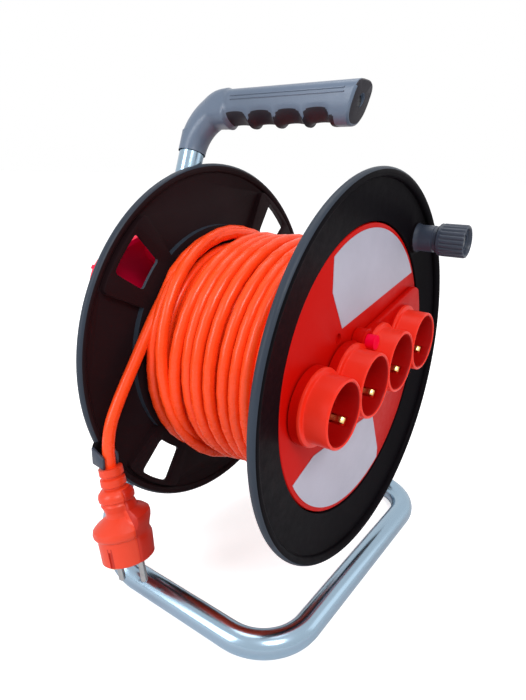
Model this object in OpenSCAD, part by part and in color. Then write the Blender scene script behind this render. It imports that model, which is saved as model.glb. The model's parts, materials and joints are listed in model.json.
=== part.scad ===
// Cable reel on a bent steel tube frame.
// The drum turns on an axis along Y; the socket side faces -Y. +Z is up.
// Inside the modules Y is measured from the front flange's rim and Z from the drum axis;
// placed() stands the whole reel on Z = 0 with its bounding box centred in X and Y.

/* [Drum] */
// Width of the flanges from the socket panel's edge to the middle of the rim bead
rim_w = 32; // [30:0.5:40]
// Radius of the rim bead's round section
bead_r = 3.4; // [2.5:0.1:4.2]
// Distance between the two rim beads
drum_w = 142; // [136:1:170]
// Outer radius of the winding core
core_r = 61.5; // [60:0.5:63]
// Wall of the winding core
core_wall = 3.5; // [2.5:0.5:4]
// Thickness of the flange discs
flange_t = 3; // [2.5:0.1:3.4]
// Depth of the front flange's face behind its rim
face_y = 5; // [4:0.5:6]
// Depth of the dish that holds the socket panel
dish_depth = 14.5; // [14:0.5:17]

/* [Socket panel] */
// Margin of the round socket panel around the row of sockets
panel_margin = 15.3; // [14:0.1:20]
// Thickness of the panel
panel_t = 3; // [2.4:0.2:3.2]
// Height of the middle band above the panel
band_h = 5; // [4:0.5:6]
// Number of sockets
socket_n = 4; // [2:1:4]
// Wall between two neighbouring socket recesses
socket_gap = 3; // [2.6:0.1:6]
// Tilt of the socket row
row_tilt = 7; // [0:1:11]
// Turn of each socket from the row
socket_turn = -45; // [-50:1:10]
// Bore radius of a socket recess
recess_r = 19.75; // [19.5:0.05:20]
// Depth of a socket recess
recess_depth = 17.5; // [17:0.1:18]
// Wall of a socket cup at its mouth
cup_wall = 2.4; // [2:0.1:3]
// How far the cups stand out in front of the flange rim
cup_out = 20; // [18:0.5:24]
// Radius of the reset button
button_r = 5; // [4:0.1:5.2]
// Travel of the reset button
button_travel = 2.5; // [1.5:0.1:2.7]

/* [Crank] */
// Distance of the crank knob from the middle of the rim bead
crank_inset = 18.8; // [18:0.1:19.2]
// Angle of the crank knob from +X
crank_a = 49; // [20:1:80]
// Radius of the fixed crank post
post_r = 10; // [9:0.2:11]
// Length of the fixed crank post in front of the flange face
post_len = 20; // [16:0.5:22]
// Radius of the turning knob
knob_r = 12.2; // [11.5:0.1:13]
// Length of the turning knob
knob_len = 20.5; // [18:0.1:24]
// Radius of the steel pin that the knob turns on
pin_r = 3; // [2.5:0.1:3.5]

/* [Frame] */
// Outer radius of the frame tube
tube_r = 9.5; // [8:0.1:12]
// Wall of the frame tube
tube_wall = 1.5; // [1:0.1:2]
// Gap between the flanges and the floor
floor_gap = 30.1; // [26:0.1:45]
// How far the base loop's sides lie inside the flange rim's radius
base_inset = 18.5; // [8:0.5:24]
// How far the base loop's front tube lies in front of the rim
base_front = 8; // [4:1:14]
// Bend radius of the base loop
base_bend = 38; // [32:1:50]
// Bend radius under the rear of the grip
grip_bend = 34; // [30:1:38]
// Height of the grip's tube above the rim
grip_rise = 39.1; // [34:0.1:60]
// Running gap between the rear flange's rim and the post
post_gap = 1.6; // [1.2:0.1:3]

/* [Grip] */
// Thickness of the grip at the tube's sides
grip_wall = 2.7; // [2:0.1:5]
// Front end of the grip behind the rim
grip_front = 17; // [12:1:18]
// Number of finger scallops
scallop_n = 4; // [3:1:4]
// Distance between finger scallops
scallop_pitch = 22.7; // [21:0.1:24]
// Depth of a finger scallop
scallop_depth = 4; // [2.5:0.5:4.5]

/* [Rear bearing] */
// Radius of the bearing plate around the axle
carrier_r = 45; // [40:1:60]
// Radius of the bearing plate's outer corner
wing_r = 30; // [20:1:34]
// Thickness of the bearing plate
carrier_t = 4; // [3:0.5:5]
// Radius of the spigot that the drum turns on
spigot_r = 18; // [16:0.5:19]
// Radial clearance of the drum on its spigot
spin_fit = 0.08; // [0.04:0.01:0.1]

/* [Cable] */
// Diameter of the cable
cable_d = 8.7; // [8:0.1:9]
// Outer radius of the wound cable
wound_r = 91; // [84:0.5:92]

/* [Hidden] */
$fn = 96;
over = 1;                                   // how far a cut runs past the face it opens
seat = 0.05;                                // clearance of a pressed or seated fit
running = 0.08;                             // clearance of small turning and sliding fits

// Sizes that follow from the row of sockets
cup_r = recess_r + cup_wall;
base_step = 3.3;                            // how much wider a cup is at its foot
socket_pitch = 2 * recess_r + socket_gap;
panel_r = (socket_n - 1) / 2 * socket_pitch + cup_r + base_step + panel_margin;
flange_r = panel_r + rim_w;
rim_r = flange_r + bead_r;
axis_h = rim_r + floor_gap;
grip_z = rim_r + grip_rise;
grip_w = 2 * (tube_r + grip_wall);
base_half = flange_r - base_inset;
crank_r = flange_r - crank_inset;

bore_r = tube_r - tube_wall;
base_z = tube_r - axis_h;                   // middle of the base loop's tube
rear_y = drum_w;                            // plane of the rear rim bead
post_y = rear_y + bead_r + post_gap + tube_r;
loop_rear = post_y - 7;                     // rear end of the base loop's free side

// The frame tube's path: grip, post behind the drum, then the base loop
grip_end = [0, grip_front + 9, grip_z];
top_corner = [0, post_y, grip_z];
foot_corner = [-base_half, post_y, base_z];
front_left = [-base_half, -base_front, base_z];
front_right = [base_half, -base_front, base_z];
free_end = [base_half, loop_rear, base_z];
post_dir = (foot_corner - top_corner) / norm(foot_corner - top_corner);
tube_joint = top_corner + post_dir * 272;   // the foot's necked end enters the post here
joint_len = 34;
foot_joint_len = 16;
foot_end = foot_corner - [0, base_bend + foot_joint_len + 2, 0];
collar_end = top_corner + post_dir * 30;

// Front flange and panel
dish_y = face_y + dish_depth;               // front of the dish floor
dish_r = panel_r + 1;
core_y0 = dish_y + flange_t;                // the core stands on the dish floor
hub_y = rear_y - 5;                         // front of the rear flange's hub disc
rim_web = rear_y - 0.5;                     // front of the rear flange's outer web
screw_ring = core_r - core_wall - 5.5;
screw_turns = [65, 155, 245, 335];
panel_y = face_y + 0.5;                     // front face of the panel
band_y = panel_y - band_h;
panel_screw_at = [[-38, 33], [22, 76], [-15, -72]];
panel_boss_y = dish_y - 5;                  // where the panel's posts meet the flange's bosses
panel_seat_y = panel_boss_y - 2.5;          // seat of the panel screws' heads
dish_opening = 40;

// Sockets
base_y = -4;                                // top of the wider foot
row_mid = [-8.7, 6.3];
function along_row(d, up = 0) =
    row_mid + [d * cos(row_tilt) - up * sin(row_tilt), d * sin(row_tilt) + up * cos(row_tilt)];
socket_d = [for (i = [0:socket_n - 1]) (i - (socket_n - 1) / 2) * socket_pitch];
recess_floor = recess_depth - cup_out;
pin_half = 9.5;
rail_up = pin_half * cos(socket_turn);      // the live and neutral rails lie this far off the row
function pin_at(d, side) = along_row(d - side * pin_half * sin(socket_turn), side * rail_up);
contact_y = recess_floor + 3.2;             // front of the tulip contacts
rail_y = dish_y - 5.5;
rail_t = 0.9;
earth_y = rail_y - 3.5;                     // the earth rail crosses in front of the other two
terminal_y = rail_y + 4;                    // front of the terminal block
inlet_at = [row_mid[0], terminal_y + 12];   // where the inner cable comes through the core, as [x, y]
inlet_z = 2.6 - core_r;                     // its lower end, inside the core's wall
inlet_r = 7;

// Reset button
button_at = along_row(0, 20.8);
boss_y = -3.5;                              // front of the button's boss
button_front = boss_y - 6;
collar_y = boss_y + 6;                      // shoulder that keeps the button in
cutout_y = panel_y + panel_t + 1.5;         // front of the cut-out switch

// Crank
crank_at = crank_r * [cos(crank_a), sin(crank_a)];
crank_seat = face_y - 3;                    // front of the flange's boss under the crank
post_front = face_y - post_len;
knob_back = post_front - 0.5;
knob_front = knob_back - knob_len;

// Rear bearing
hub_front = rear_y - 15.5;
hub_back = rear_y + bead_r + 0.4;
carrier_front = post_y + tube_r + 6;
carrier_back = carrier_front + carrier_t;
carrier_hub_back = carrier_back + 12;
saddle_at = [108, 228];                     // along the post from the grip's corner
wing_at = [-70.5, 50];                      // middle of the bearing plate's outer corner
function on_post(t) = top_corner + post_dir * t;

mid_y = (knob_front + carrier_hub_back) / 2;

// Cable: where the free end runs from the winding to the plug
cable_r = cable_d / 2;
tail_route = [[-60, 128, 62], [-72, 129, 48], [-82, 130, 34], [-93, 130, 18], [-103, 130, 3],
    [-112, 130, -10], [-119, 130, -21], [-125, 130, -32], [-128, 130, -43], [-129, 130, -54],
    [-129, 129, -67]];
plug_top = [-129, 129, -64.3];
plug_lean = 15;                             // the plug hangs leaning forward by this angle
plug_sway = 2.5;                            // and to the left by this one
plug_yaw = 106;                             // turn of the plug about its own axis
plug_len = 67;
face_r = 18.6;
plug_pin_r = 2.4;
plug_pin_len = 19;
pin_root_r = plug_pin_r - 0.3;              // the pins are thinner where they are moulded in
clip_at = [-129, -56];
clip_slot = cable_d + 0.6;
clip_size = [clip_slot + 5.2, 13];
clip_floor = 130 + cable_r + 0.3;           // the cable lies 0.3 in front of the clip's slot floor

module placed() translate([0, -mid_y, axis_h]) children();

// A slab with its outline drawn as seen from the front, from depth y0 to y1
module slab(y0, y1) translate([0, y1, 0]) rotate([90, 0, 0]) linear_extrude(y1 - y0) children();

// A round bar along the drum axis at [x, z]
module rod(at, y0, y1, r) translate([at[0], y1, at[1]]) rotate([90, 0, 0]) cylinder(h = y1 - y0, r = r);

// A revolved section, drawn as [radius, depth]
module spun() rotate([-90, 0, 0]) rotate_extrude() children();

function arc(r, a0, a1, n) = [for (i = [0:n]) r * [cos(a0 + (a1 - a0) * i / n), sin(a0 + (a1 - a0) * i / n)]];
function unit(v) = v / norm(v);
function bend_turn(a, b, c) = acos(unit(b - a) * unit(c - b));
function bend_trim(a, b, c, bend) = bend * tan(bend_turn(a, b, c) / 2);

module straight(a, b, r) {
    v = b - a;
    translate(a) rotate([0, acos(v[2] / norm(v)), atan2(v[1], v[0])]) cylinder(h = norm(v), r = r);
}

// A bent round bar at corner b, with the straight lengths before and after it in the bend's own frame
module bend(a, b, c, r, bend, before, after) {
    along = unit(b - a);
    leaving = unit(c - b);
    turn = bend_turn(a, b, c);
    outward = -unit(leaving - along * (along * leaving));
    up = cross(outward, along);
    translate(b) multmatrix([[outward[0], along[0], up[0], 0],
                             [outward[1], along[1], up[1], 0],
                             [outward[2], along[2], up[2], 0],
                             [0, 0, 0, 1]]) translate([-bend, -bend_trim(a, b, c, bend), 0]) {
        rotate_extrude(angle = turn) translate([bend, 0]) circle(r = r);
        translate([bend, 0, 0]) rotate([90, 0, 0]) cylinder(h = before, r = r);
        if (after > 0)
            rotate([0, 0, turn]) translate([bend, 0, 0]) rotate([-90, 0, 0]) cylinder(h = after, r = r);
    }
}

// A round bar along a path of corners, each bent to its own radius
module tube_run(path, bends, r) {
    last = len(path) - 1;
    trims = [for (i = [1:last - 1]) bend_trim(path[i - 1], path[i], path[i + 1], bends[i - 1])];
    for (i = [1:last - 1]) {
        before = norm(path[i] - path[i - 1]) - trims[i - 1] - (i > 1 ? trims[i - 2] : 0);
        after = i == last - 1 ? norm(path[last] - path[i]) - trims[i - 1] : 0;
        bend(path[i - 1], path[i], path[i + 1], r, bends[i - 1], before, after);
    }
}

module outline(points, round) offset(round, $fn = 24) offset(-round, $fn = 24) polygon(points);

// ---- frame ----

module frame_post() color("lightsteelblue") placed() difference() {
    tube_run([grip_end, top_corner, tube_joint], [grip_bend], tube_r);
    tube_run([grip_end - [0, over, 0], top_corner, tube_joint + post_dir * over], [grip_bend], bore_r);
    for (t = saddle_at) let (p = on_post(t)) rod([p[0], p[2]], post_y, post_y + tube_r + over, 4.5);
}

// A tube along a path whose first end is necked down to push into the tube before it
module necked_tube(path, bends, neck_len) {
    dir = unit(path[1] - path[0]);
    neck_r = bore_r - seat;
    shoulder = 2;
    last = len(path) - 1;
    difference() {
        union() {
            tube_run(path, bends, tube_r);
            straight(path[0] - dir * neck_len, path[0] + dir * over, neck_r);
        }
        straight(path[0] - dir * (neck_len + over), path[0] + dir * (shoulder + over), neck_r - tube_wall);
        tube_run([path[0] + dir * shoulder, for (i = [1:last - 1]) path[i],
            path[last] + unit(path[last] - path[last - 1]) * over], bends, bore_r);
    }
}

module frame_foot() color("lightsteelblue") placed()
    necked_tube([tube_joint, foot_corner, foot_end], [base_bend], joint_len);

module frame_base() color("lightsteelblue") placed()
    necked_tube([foot_end, front_left, front_right, free_end], [base_bend, base_bend], foot_joint_len);

module tube_end_cap() color("#202226") placed() translate(free_end) rotate([-90, 0, 0]) {
    translate([0, 0, -14]) cylinder(h = 14, r = bore_r - seat);
    rotate_extrude() polygon([[0, 0], [tube_r, 0], [tube_r, 1.5], [tube_r - 2, 3.5], [0, 4]]);
}

module tube_plug() color("#202226") placed() translate(grip_end) rotate([-90, 0, 0]) difference() {
    cylinder(h = 20, r = bore_r - seat);
    translate([0, 0, -over]) cylinder(h = 18, r = 2);
}

module grip_profile() {
    low = grip_z - tube_r - 6;
    top = grip_z + tube_r + 3;
    first = 47 + (4 - scallop_n) * scallop_pitch / 2;
    bow = (pow(scallop_pitch / 2, 2) + pow(scallop_depth, 2)) / (2 * scallop_depth);
    difference() {
        outline([[grip_front, low + 2], [grip_front + 1, top], [post_y - 28, top],
            [post_y - 28, low], [grip_front + 16, low]], 2);
        for (i = [0:scallop_n - 1])
            translate([first + i * scallop_pitch, low + scallop_depth - bow]) circle(r = bow);
    }
}

module handle_grip() color("slategray") placed() difference() {
    union() {
        translate([-grip_w / 2, 0, 0]) rotate([90, 0, 90]) linear_extrude(grip_w) grip_profile();
        tube_run([[0, post_y - grip_bend - 20, grip_z], top_corner, collar_end], [grip_bend], tube_r + 3);
    }
    tube_run([grip_end, top_corner, collar_end + post_dir * over], [grip_bend], tube_r + seat);
    translate([0, 0, grip_z]) {
        rod([0, 0], grip_front - over, grip_end[1] + over, 2.2);
        rod([0, 0], grip_front - over, grip_front + 5, 4.3);
    }
}

module grip_screw() color("silver") placed() translate([0, 0, grip_z]) {
    rod([0, 0], grip_front + 5, grip_end[1] + 14, 1.95);
    rod([0, 0], grip_front + 2.6, grip_front + 5, 4);
}

// ---- rear bearing ----

// The bearing plate's corners: [x, z, radius]
carrier_corners = [[0, 0, carrier_r], [wing_at[0], wing_at[1], wing_r],
    for (t = saddle_at) let (p = on_post(t)) [p[0], p[2], 16]];

module carrier_outline(inset) hull() for (c = carrier_corners)
    translate([c[0], c[1]]) circle(r = c[2] - inset, $fn = 48);

module rear_carrier() color("crimson") placed() difference() {
    union() {
        slab(carrier_front, carrier_back) carrier_outline(0);
        slab(carrier_front - 4, carrier_back - over) difference() {
            carrier_outline(0);
            carrier_outline(3.5);
        }
        spun() {
            translate([0, hub_back + 1]) square([spigot_r + 12, carrier_back - hub_back - 1]);
            translate([0, hub_front - 0.5]) square([spigot_r, carrier_front - hub_front]);
            translate([0, carrier_back - over]) square([20, carrier_hub_back - carrier_back + over]);
        }
        for (i = [1:3]) let (c = carrier_corners[i]) rotate([0, -atan2(c[1], c[0]), 0])
            translate([18, carrier_back - over, -1.5]) cube([norm([c[0], c[1]]) + c[2] - 20, 6, 3]);
        for (t = saddle_at) let (p = on_post(t)) {
            rod([p[0], p[2]], post_y, carrier_front + over, 14);
            rod([p[0], p[2]], carrier_front, carrier_back + 6, 9);
        }
    }
    straight(on_post(60), on_post(280), tube_r + seat);
    rod([0, 0], hub_front - over, carrier_hub_back + over, 4 + seat);
    rod([0, 0], carrier_hub_back - 7.5, carrier_hub_back + over, 8.4);
    for (t = saddle_at) let (p = on_post(t)) {
        rod([p[0], p[2]], post_y, carrier_back + 7, 3 + seat);
        rod([p[0], p[2]], post_y, post_y + tube_r + 1.2, 5.6);
    }
}

module carrier_bolts() color("silver") placed() for (t = saddle_at) let (p = on_post(t)) {
    rod([p[0], p[2]], post_y - 2, carrier_back + 6.5, 3);
    rod([p[0], p[2]], carrier_back + 6, carrier_back + 9.5, 5.5);
}

module rivet_nuts() color("goldenrod") placed() for (t = saddle_at) let (p = on_post(t)) difference() {
    union() {
        rod([p[0], p[2]], post_y + 1, post_y + tube_r + 0.8, 4.5 - seat);
        rod([p[0], p[2]], post_y + tube_r, post_y + tube_r + 1, 5.5);
    }
    rod([p[0], p[2]], post_y, post_y + tube_r + 2, 3 + seat);
}

module axle_screw() color("silver") placed() {
    rod([0, 0], hub_front - 4, carrier_hub_back - 0.5, 4);
    translate([0, hub_front - 3, 0]) rotate([90, 0, 0]) cylinder(h = 5.3, r = 7.5, $fn = 6);
}

module axle_washer() color("gainsboro") placed() difference() {
    rod([0, 0], hub_front - 3, hub_front - 0.5, spigot_r + 7);
    rod([0, 0], hub_front - 4, hub_front, 4 + seat);
}

module axle_nut() color("gainsboro") placed() difference() {
    translate([0, carrier_hub_back - 1, 0]) rotate([90, 0, 0]) cylinder(h = 6.4, r = 7.5, $fn = 6);
    rod([0, 0], carrier_hub_back - 8, carrier_hub_back, 4 + seat);
}

// ---- drum ----

// Windows in the rear flange, each in a raised arm
window_n = 4;
window_turn = 50.5;
window_half = 7.2;
window_r = [99.5, flange_r - 8.5];
arm_half = 14;
arm_t = 2.5;
ring_r = 90;                                // inside of the hub disc's upright wall
arm_r = [ring_r + 1, flange_r - 5];

module sector(half, r, round)
    outline([each arc(r[0], -half, half, 4), each arc(r[1], half, -half, 6)], round);

module rear_flange() color("#26272b") placed() difference() {
    union() {
        spun() {
            translate([flange_r, rear_y]) circle(r = bead_r);
            translate([ring_r, rim_web]) square([flange_r - ring_r, flange_t - 0.5]);
            translate([ring_r, hub_y]) square([3.5, rim_web - hub_y + 1]);
            translate([spigot_r + 2, hub_y]) square([ring_r + 1.5 - spigot_r, flange_t]);
            translate([spigot_r + spin_fit, hub_front]) square([6, hub_back - hub_front]);
        }
        slab(hub_y, rim_web + 1) for (i = [0:window_n - 1])
            rotate(window_turn + i * 360 / window_n) sector(arm_half, arm_r, 4);
    }
    slab(hub_y - over, rear_y + bead_r) for (i = [0:window_n - 1])
        rotate(window_turn + i * 360 / window_n) sector(window_half, window_r, 3);
    slab(hub_y + arm_t, rear_y + bead_r) for (i = [0:window_n - 1])
        rotate(window_turn + i * 360 / window_n)
            sector(arm_half - 1.3, [arm_r[0] + arm_t, arm_r[1] - arm_t], 3);
    for (turn = screw_turns)
        rod(screw_ring * [cos(turn), sin(turn)], hub_y - over, hub_y + flange_t + over, 2.1);
}

module drum_core() color("#2b2c30") placed() difference() {
    union() {
        spun() translate([core_r - core_wall, core_y0]) square([core_wall, hub_y - core_y0]);
        for (turn = screw_turns) rod(screw_ring * [cos(turn), sin(turn)], core_y0, hub_y, 6);
    }
    for (turn = screw_turns)
        rod(screw_ring * [cos(turn), sin(turn)], core_y0 - over, hub_y + over, 1.8);
    translate([inlet_at[0], inlet_at[1], -core_r - over]) cylinder(h = 12, r = inlet_r);
}

module flange_screw(at, seat_y, dir) {
    far = seat_y + dir * 14;
    head = seat_y - dir * 2.4;
    rod(at, min(seat_y, far), max(seat_y, far), 1.75);
    rod(at, min(seat_y, head), max(seat_y, head), 3.6);
}

module rear_flange_screws() color("silver") placed()
    for (turn = screw_turns) flange_screw(screw_ring * [cos(turn), sin(turn)], hub_y + flange_t, -1);

module front_flange_screws() color("silver") placed()
    for (turn = screw_turns) flange_screw(screw_ring * [cos(turn), sin(turn)], dish_y, 1);

module front_flange() color("#26272b") placed() difference() {
    union() {
        spun() {
            translate([flange_r, 0]) circle(r = bead_r);
            polygon([[dish_r, face_y], [flange_r - 4, face_y - 3], [flange_r, -1], [flange_r, 2],
                [flange_r - 3, face_y], [dish_r + 3, face_y + flange_t], [dish_r + 3, core_y0],
                [dish_opening, core_y0], [dish_opening, dish_y], [dish_r, dish_y]]);
        }
        rod(crank_at, crank_seat, face_y + 6, 12);
        for (at = panel_screw_at) rod(at, panel_boss_y, core_y0, 4);
    }
    rod(crank_at, crank_seat - over, face_y + 7, pin_r + seat);
    for (turn = screw_turns)
        rod(screw_ring * [cos(turn), sin(turn)], dish_y - over, core_y0 + over, 2.1);
    for (at = panel_screw_at) rod(at, panel_boss_y - over, core_y0 - 0.8, 1.5);
}

// ---- socket panel ----

module cup_section() polygon([
    [recess_r, -cup_out + 1], [recess_r + 0.8, -cup_out], [cup_r - 0.9, -cup_out],
    [cup_r, -cup_out + 0.9], [cup_r, base_y - 0.2], [cup_r + base_step - 0.8, base_y],
    [cup_r + base_step, base_y + 0.8], [cup_r + base_step, panel_y + 0.5], [recess_r, panel_y + 0.5]]);

module band_outline() {
    intersection() {
        circle(r = panel_r - 1.5);
        outline([[-36, 24], [84, 51], [110, 30], [110, -16], [46, -34], [-36, -20]], 8);
    }
}

// Turned with one socket about its own middle
module at_socket(d) translate([along_row(d)[0], 0, along_row(d)[1]]) rotate([0, -row_tilt - socket_turn, 0])
    children();

module socket_panel() color("orangered") placed() difference() {
    union() {
        spun() translate([0, panel_y]) square([panel_r, panel_t]);
        slab(band_y, panel_y + over) band_outline();
        for (d = socket_d) rod(along_row(d), base_y, panel_y + over, cup_r + base_step);
        for (d = socket_d) rod(along_row(d), -cup_out, base_y + over, cup_r);
        for (at = panel_screw_at) rod(at, panel_y + 1, panel_boss_y, 5.5);
        rod(button_at, boss_y, panel_y + panel_t, button_r + 3);
    }
    slab(band_y + panel_t, panel_y + panel_t + over) offset(-3) band_outline();
    for (d = socket_d) {
        rod(along_row(d), -cup_out - over, recess_floor, recess_r);
        rod(along_row(d), recess_floor + 2.5, panel_y + panel_t + over, recess_r);
        for (side = [-1, 1]) {
            rod(pin_at(d, side), recess_floor - over, recess_floor + 4, 2.9);
            at_socket(d) translate([side * recess_r - 1.5, recess_floor - 11, -3]) cube([3, 14, 6]);
        }
    }
    rod(button_at, boss_y - over, panel_y, button_r + running);
    rod(button_at, collar_y, panel_y + panel_t + over, button_r + 1.4);
    for (at = panel_screw_at) {
        rod(at, band_y - over, panel_seat_y, 3.5);
        rod(at, panel_y, dish_y, 1.6);
    }
}

module panel_screws() color("silver") placed() for (at = panel_screw_at) {
    rod(at, panel_seat_y - 2.2, panel_seat_y, 3.2);
    rod(at, panel_seat_y - 0.2, core_y0 - 1.2, 1.45);
}

module contact_carrier() color("#33343a") placed() difference() {
    union() {
        slab(terminal_y - 3, terminal_y) translate(row_mid) rotate(row_tilt)
            square([socket_pitch * (socket_n - 1) + 26, 24], center = true);
        for (d = [socket_d[0], socket_d[socket_n - 1]]) rod(along_row(d), terminal_y - over, dish_y, 8);
    }
    for (up = [-rail_up, 0, rail_up]) rod(along_row(0, up), terminal_y - 4, terminal_y + over, 1.6);
}

module rail(side) difference() {
    union() {
        slab(rail_y, rail_y + rail_t) translate(row_mid) rotate(row_tilt) translate([0, side * rail_up])
            square([socket_pitch * (socket_n - 1) + 16, 5.6], center = true);
        for (d = socket_d) rod(pin_at(d, side), contact_y, rail_y + rail_t / 2, 3.6);
        rod(along_row(0, side * rail_up), rail_y, terminal_y + 5, 1.5);
    }
    for (d = socket_d) rod(pin_at(d, side), contact_y - over, rail_y + 2, plug_pin_r + 0.05);
}

module live_rail() color("goldenrod") placed() rail(1);
module neutral_rail() color("goldenrod") placed() rail(-1);

module earth_rail() color("gold") placed() {
    inner = recess_r - 1.4;                 // inside of a clip's spring
    outer = inner + 0.8;
    nose = inner - 1.2;
    tip = recess_floor - 10;
    slab(earth_y + 0.2, earth_y + rail_t + 0.2) translate(row_mid) rotate(row_tilt)
        square([socket_pitch * (socket_n - 1), 4], center = true);
    rod(along_row(0), earth_y + 0.5, terminal_y + 5, 1.5);
    for (d = socket_d) at_socket(d) translate([0, 0, -2]) linear_extrude(4) polygon([
        [-outer, tip], [-nose, tip], [-nose, tip + 5], [-inner, tip + 5.6], [-inner, earth_y],
        [inner, earth_y], [inner, tip + 5.6], [nose, tip + 5], [nose, tip], [outer, tip],
        [outer, earth_y + rail_t], [-outer, earth_y + rail_t]]);
}

module terminal_block() color("whitesmoke") placed() difference() {
    translate([row_mid[0] - 9, terminal_y, row_mid[1] - 15]) cube([18, 18, 30]);
    for (up = [-rail_up, 0, rail_up]) rod(along_row(0, up), terminal_y - over, terminal_y + 6, 1.6);
}

module inner_cable() color("orangered") placed()
    translate([inlet_at[0], inlet_at[1], inlet_z]) cylinder(h = row_mid[1] - 15 - inlet_z, r = cable_r);

module cable_gland() color("#202226") placed() translate([inlet_at[0], inlet_at[1], inlet_z]) difference() {
    cylinder(h = 9, r = inlet_r - seat);
    translate([0, 0, -over]) cylinder(h = 9 + 2 * over, r = cable_r + seat);
}

module thermal_cutout() color("#3a3b40") placed() difference() {
    slab(cutout_y, dish_y - 0.3) translate(button_at + [-1.2, 3.5]) rotate(row_tilt)
        square([16, 14], center = true);
    rod(button_at, cutout_y - over, cutout_y + 6, 2 + running);
}

module reset_button() color("crimson") placed() {
    rod(button_at, button_front, collar_y + 1, button_r);
    rod(button_at, collar_y + 0.3, collar_y + 1.7, button_r + 1);
    rod(button_at, collar_y, cutout_y + 2.5, 2);
}

module label_top() color("lavender") placed() slab(panel_y - 0.3, panel_y)
    intersection() {
        circle(r = panel_r - 3.5);
        polygon([[-34, 39], [-50, 65], [-52, 110], [110, 110], [81, 61]]);
    }

module label_bottom() color("lavender") placed() slab(panel_y - 0.3, panel_y)
    intersection() {
        circle(r = panel_r - 3.5);
        polygon([[-90, -54], [-62, -42], [28, -43], [46, -82], [46, -110], [-90, -110]]);
    }

// ---- crank ----

module crank_post() color("#2c2e36") placed() difference() {
    rod(crank_at, post_front, crank_seat, post_r);
    rod(crank_at, post_front - over, face_y, pin_r + seat);
}

module crank_pin() color("silver") placed() {
    rod(crank_at, knob_front + 6, face_y + 7, pin_r);
    rod(crank_at, knob_front + 3.5, knob_front + 6, pin_r + 2);
    rod(crank_at, face_y + 6, face_y + 8.5, pin_r + 2.5);
}

module crank_knob() color("#2c2e36") placed() difference() {
    rod(crank_at, knob_front, knob_back, knob_r);
    rod(crank_at, knob_front - over, knob_back + over, pin_r + running);
    difference() {
        rod(crank_at, knob_front - over, knob_back - 3, knob_r - 2);
        rod(crank_at, knob_front + 6.3, knob_back, pin_r + 2.5);
    }
}

// ---- cable and plug ----

module plug_clip() color("#26272b") placed() difference() {
    front = clip_floor - cable_d + 1.5;
    translate([clip_at[0] - clip_size[0] / 2, front, clip_at[1] - clip_size[1] / 2])
        cube([clip_size[0], rear_y - 1 - front, clip_size[1]]);
    translate([clip_at[0] - clip_slot / 2, front - over, clip_at[1] - clip_size[1]])
        cube([clip_slot, clip_floor - front + over, 2 * clip_size[1]]);
    spun() {
        translate([flange_r, rear_y]) circle(r = bead_r + seat);
        translate([ring_r, rim_web - seat]) square([flange_r - ring_r, flange_t + 8]);
    }
}

module cable_winding() color("orangered") placed() spun()
    translate([core_r + 0.3, core_y0 + 0.5]) square([wound_r - core_r - 0.3, hub_y - core_y0 - 2]);

// Rings of points round a route, each square to it
function tangent(route, i) = unit(route[min(i + 1, len(route) - 1)] - route[max(i - 1, 0)]);
function ring(centre, dir, r, n) =
    let (side = unit(cross(dir, [0, 1, 0])), up = cross(side, dir))
    [for (k = [0:n - 1]) centre + r * (cos(k * 360 / n) * side + sin(k * 360 / n) * up)];

module swept(route, r, n) {
    rings = [for (i = [0:len(route) - 1]) each ring(route[i], tangent(route, i), r, n)];
    last = (len(route) - 1) * n;
    sides = [for (i = [0:len(route) - 2], k = [0:n - 1]) let (k2 = (k + 1) % n)
        [i * n + k, i * n + k2, (i + 1) * n + k2, (i + 1) * n + k]];
    polyhedron(rings, [[for (k = [n - 1:-1:0]) k], each sides, [for (k = [0:n - 1]) last + k]]);
}

module cable_tail() color("orangered") placed() swept(tail_route, cable_r, 10);

module at_plug() translate(plug_top) rotate([-plug_lean, plug_sway, 0]) rotate([180, 0, plug_yaw])
    children();

module plug_body() color("coral") placed() at_plug() difference() {
    rotate_extrude() polygon([[0, 0], [8.4, 0], [8.9, 14], [10.6, 15.5], [12.2, 19], [12.4, 22],
        [11.6, 26.5], [9.9, 31.5], [9.9, 34], [12.6, 36.5], [17, 39.5], [20, 42.5], [20.8, 46],
        [20.4, 49.5], [19.2, 52.5], [face_r, 54], [face_r - 0.3, plug_len], [0, plug_len]]);
    for (side = [-1, 1]) {
        translate([side * pin_half, 0, plug_len - 8]) cylinder(h = 9, r = pin_root_r + seat);
        translate([-2.3, side * face_r - 2, plug_len - 12]) cube([4.6, 4, 13]);
    }
}

module plug_pins() color("gainsboro") placed() at_plug() for (side = [-1, 1])
    translate([side * pin_half, 0, plug_len]) {
        translate([0, 0, -8]) cylinder(h = 10, r = pin_root_r);
        translate([0, 0, 1]) cylinder(h = plug_pin_len - 2, r = plug_pin_r);
        translate([0, 0, plug_pin_len - 1]) cylinder(h = 1, r1 = plug_pin_r, r2 = plug_pin_r - 1);
    }

module plug_earth_contacts() color("goldenrod") placed() at_plug() for (side = [-1, 1])
    translate([-2, side * (face_r - 1.45) - 0.5, plug_len - 12]) cube([4, 1, 12]);

frame_post();
frame_foot();
frame_base();
tube_end_cap();
tube_plug();
handle_grip();
grip_screw();
rear_carrier();
carrier_bolts();
rivet_nuts();
axle_screw();
axle_washer();
axle_nut();
rear_flange();
drum_core();
rear_flange_screws();
front_flange();
front_flange_screws();
socket_panel();
panel_screws();
contact_carrier();
live_rail();
neutral_rail();
earth_rail();
terminal_block();
inner_cable();
cable_gland();
thermal_cutout();
label_top();
label_bottom();
crank_post();
crank_pin();
plug_clip();
cable_winding();
cable_tail();
plug_body();
plug_pins();
plug_earth_contacts();
crank_knob();
reset_button();
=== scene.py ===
import json
import math

import bpy
from mathutils import Matrix, Vector

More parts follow.
